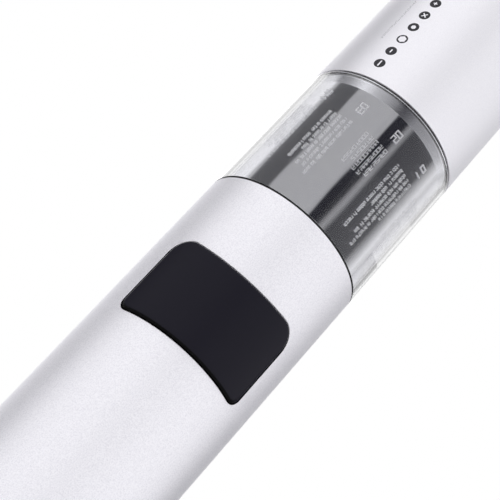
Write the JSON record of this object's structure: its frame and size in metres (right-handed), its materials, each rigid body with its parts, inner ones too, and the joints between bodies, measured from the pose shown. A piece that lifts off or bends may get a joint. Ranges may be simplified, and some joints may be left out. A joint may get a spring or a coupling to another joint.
{
  "type": "electric screwdriver",
  "caption": "Slim cordless in-line screwdriver with a rocker pad, clear sleeve over a bright gearbox barrel and a pull-off cap that stores bits.",
  "frame": {"origin": "centre of the round foot pad's lower face, on the tool's axis, where the tool stands", "axes": "+Z along the tool's axis from the tail to the cap; the control pad faces -Y and the charging port faces +Y"},
  "size_m": [0.045, 0.0458, 0.246],
  "materials": {
    "anodised_silver": "fine bead-blasted, clear anodised",
    "satin_ring": "satin turned",
    "clear_plastic": "clear, polished",
    "bright_barrel": "polished chrome plating",
    "soft_black": "soft-touch matt",
    "black_rubber": "matt",
    "dark_plastic": "fine moulded texture",
    "steel": "fine turned",
    "screw_steel": "zinc plated",
    "nickel": "plain",
    "circuit_board": "solder mask",
    "white_board": "white solder mask",
    "lamp_lens": "frosted",
    "cell_wrap": "shrink film",
    "gear_plastic": "natural acetal",
    "gear_brass": "machined",
    "winding_copper": "enamelled wire and laminations",
    "magnet": "nickel plated or plain ferrite",
    "lead_red": "silicone insulation"
  },
  "bodies": {
    "handle": {"handle_tube": "anodised_silver", "tail_cap": "anodised_silver", "foot_pad": "black_rubber", "tail_screws": "screw_steel", "chassis_front": "dark_plastic", "chassis_back": "dark_plastic", "chassis_screws": "screw_steel", "battery_cell": "cell_wrap", "battery_contacts": "nickel", "charge_board": "circuit_board", "usb_socket": "steel", "charge_lamp": "lamp_lens", "control_board": "circuit_board", "tact_switches": "dark_plastic", "rocker_bracket": "dark_plastic", "rocker_pin": "steel", "motor_can": "steel", "motor_magnets": "magnet", "motor_end_bell": "dark_plastic", "motor_leads": "lead_red", "motor_plate": "steel", "motor_screws": "screw_steel", "ring_gear": "steel", "lock_ring": "steel", "bearing_housing": "satin_ring", "bearing_outer": "steel", "barrel": "bright_barrel", "sleeve_gasket": "black_rubber", "clear_sleeve": "clear_plastic", "front_ring": "satin_ring", "cap_seal": "black_rubber", "led_board": "white_board", "led_lens": "lamp_lens"},
    "rocker": {"rocker_pad": "soft_black", "rocker_frame": "dark_plastic"},
    "rotor": {"motor_shaft": "steel", "motor_armature": "winding_copper", "sun_pinion": "gear_brass"},
    "first_stage": {"first_carrier": "steel"},
    "planet_1a": {"planet_one_a": "gear_plastic"},
    "planet_1b": {"planet_one_b": "gear_plastic"},
    "planet_1c": {"planet_one_c": "gear_plastic"},
    "planet_2a": {"planet_two_a": "gear_plastic"},
    "planet_2b": {"planet_two_b": "gear_plastic"},
    "planet_2c": {"planet_two_c": "gear_plastic"},
    "drive": {"spindle": "steel", "lock_rollers": "steel", "bearing_inner": "steel", "spindle_clip": "steel", "bit_magnet": "magnet"},
    "ball_cage": {"bearing_balls": "steel"},
    "bit": {"fitted_bit": "steel"},
    "cap": {"cap_shell": "anodised_silver", "cap_liner": "dark_plastic", "bit_rack": "dark_plastic", "rack_magnet": "magnet", "slotted_bits": "steel", "hexagon_bits": "steel", "cross_bits": "steel"}
  },
  "joints": [
    {"name": "spindle_spin", "type": "hinge", "parent": "handle", "child": "drive", "pos_m": [0, 0, 0.18], "axis": [0, 0, 1], "continuous": true},
    {"name": "motor_spin", "type": "hinge", "parent": "handle", "child": "rotor", "pos_m": [0, 0, 0.14], "axis": [0, 0, 1], "continuous": true},
    {"name": "first_carrier_spin", "type": "hinge", "parent": "handle", "child": "first_stage", "pos_m": [0, 0, 0.161], "axis": [0, 0, 1], "continuous": true},
    {"name": "planet_1a_spin", "type": "hinge", "parent": "first_stage", "child": "planet_1a", "pos_m": [0.00996, 0, 0.158], "axis": [0, 0, 1], "continuous": true},
    {"name": "planet_1b_spin", "type": "hinge", "parent": "first_stage", "child": "planet_1b", "pos_m": [-0.00498, 0.00863, 0.158], "axis": [0, 0, 1], "continuous": true},
    {"name": "planet_1c_spin", "type": "hinge", "parent": "first_stage", "child": "planet_1c", "pos_m": [-0.00498, -0.00863, 0.158], "axis": [0, 0, 1], "continuous": true},
    {"name": "planet_2a_spin", "type": "hinge", "parent": "drive", "child": "planet_2a", "pos_m": [0.00996, 0, 0.166], "axis": [0, 0, 1], "continuous": true},
    {"name": "planet_2b_spin", "type": "hinge", "parent": "drive", "child": "planet_2b", "pos_m": [-0.00498, 0.00863, 0.166], "axis": [0, 0, 1], "continuous": true},
    {"name": "planet_2c_spin", "type": "hinge", "parent": "drive", "child": "planet_2c", "pos_m": [-0.00498, -0.00863, 0.166], "axis": [0, 0, 1], "continuous": true},
    {"name": "ball_cage_spin", "type": "hinge", "parent": "handle", "child": "ball_cage", "pos_m": [0, 0, 0.1787], "axis": [0, 0, 1], "continuous": true},
    {"name": "pad_rock", "type": "hinge", "parent": "handle", "child": "rocker", "pos_m": [0, -0.0162, 0.10775], "axis": [1, 0, 0], "range_deg": [-2, 2], "stiffness_Nm_per_rad": 0.3},
    {"name": "cap_pull", "type": "slide", "parent": "handle", "child": "cap", "axis": [0, 0, 1], "range_m": [0, 0.062]},
    {"name": "bit_pull", "type": "slide", "parent": "drive", "child": "bit", "axis": [0, 0, 1], "range_m": [0, 0.014]}
  ],
  "couplings": [
    {"joint": "motor_spin", "follows": "spindle_spin", "ratio": 25},
    {"joint": "first_carrier_spin", "follows": "spindle_spin", "ratio": 5},
    {"joint": "planet_1a_spin", "follows": "spindle_spin", "ratio": -13.333},
    {"joint": "planet_1b_spin", "follows": "spindle_spin", "ratio": -13.333},
    {"joint": "planet_1c_spin", "follows": "spindle_spin", "ratio": -13.333},
    {"joint": "planet_2a_spin", "follows": "spindle_spin", "ratio": -2.6667},
    {"joint": "planet_2b_spin", "follows": "spindle_spin", "ratio": -2.6667},
    {"joint": "planet_2c_spin", "follows": "spindle_spin", "ratio": -2.6667},
    {"joint": "ball_cage_spin", "follows": "spindle_spin", "ratio": 0.418}
  ]
}
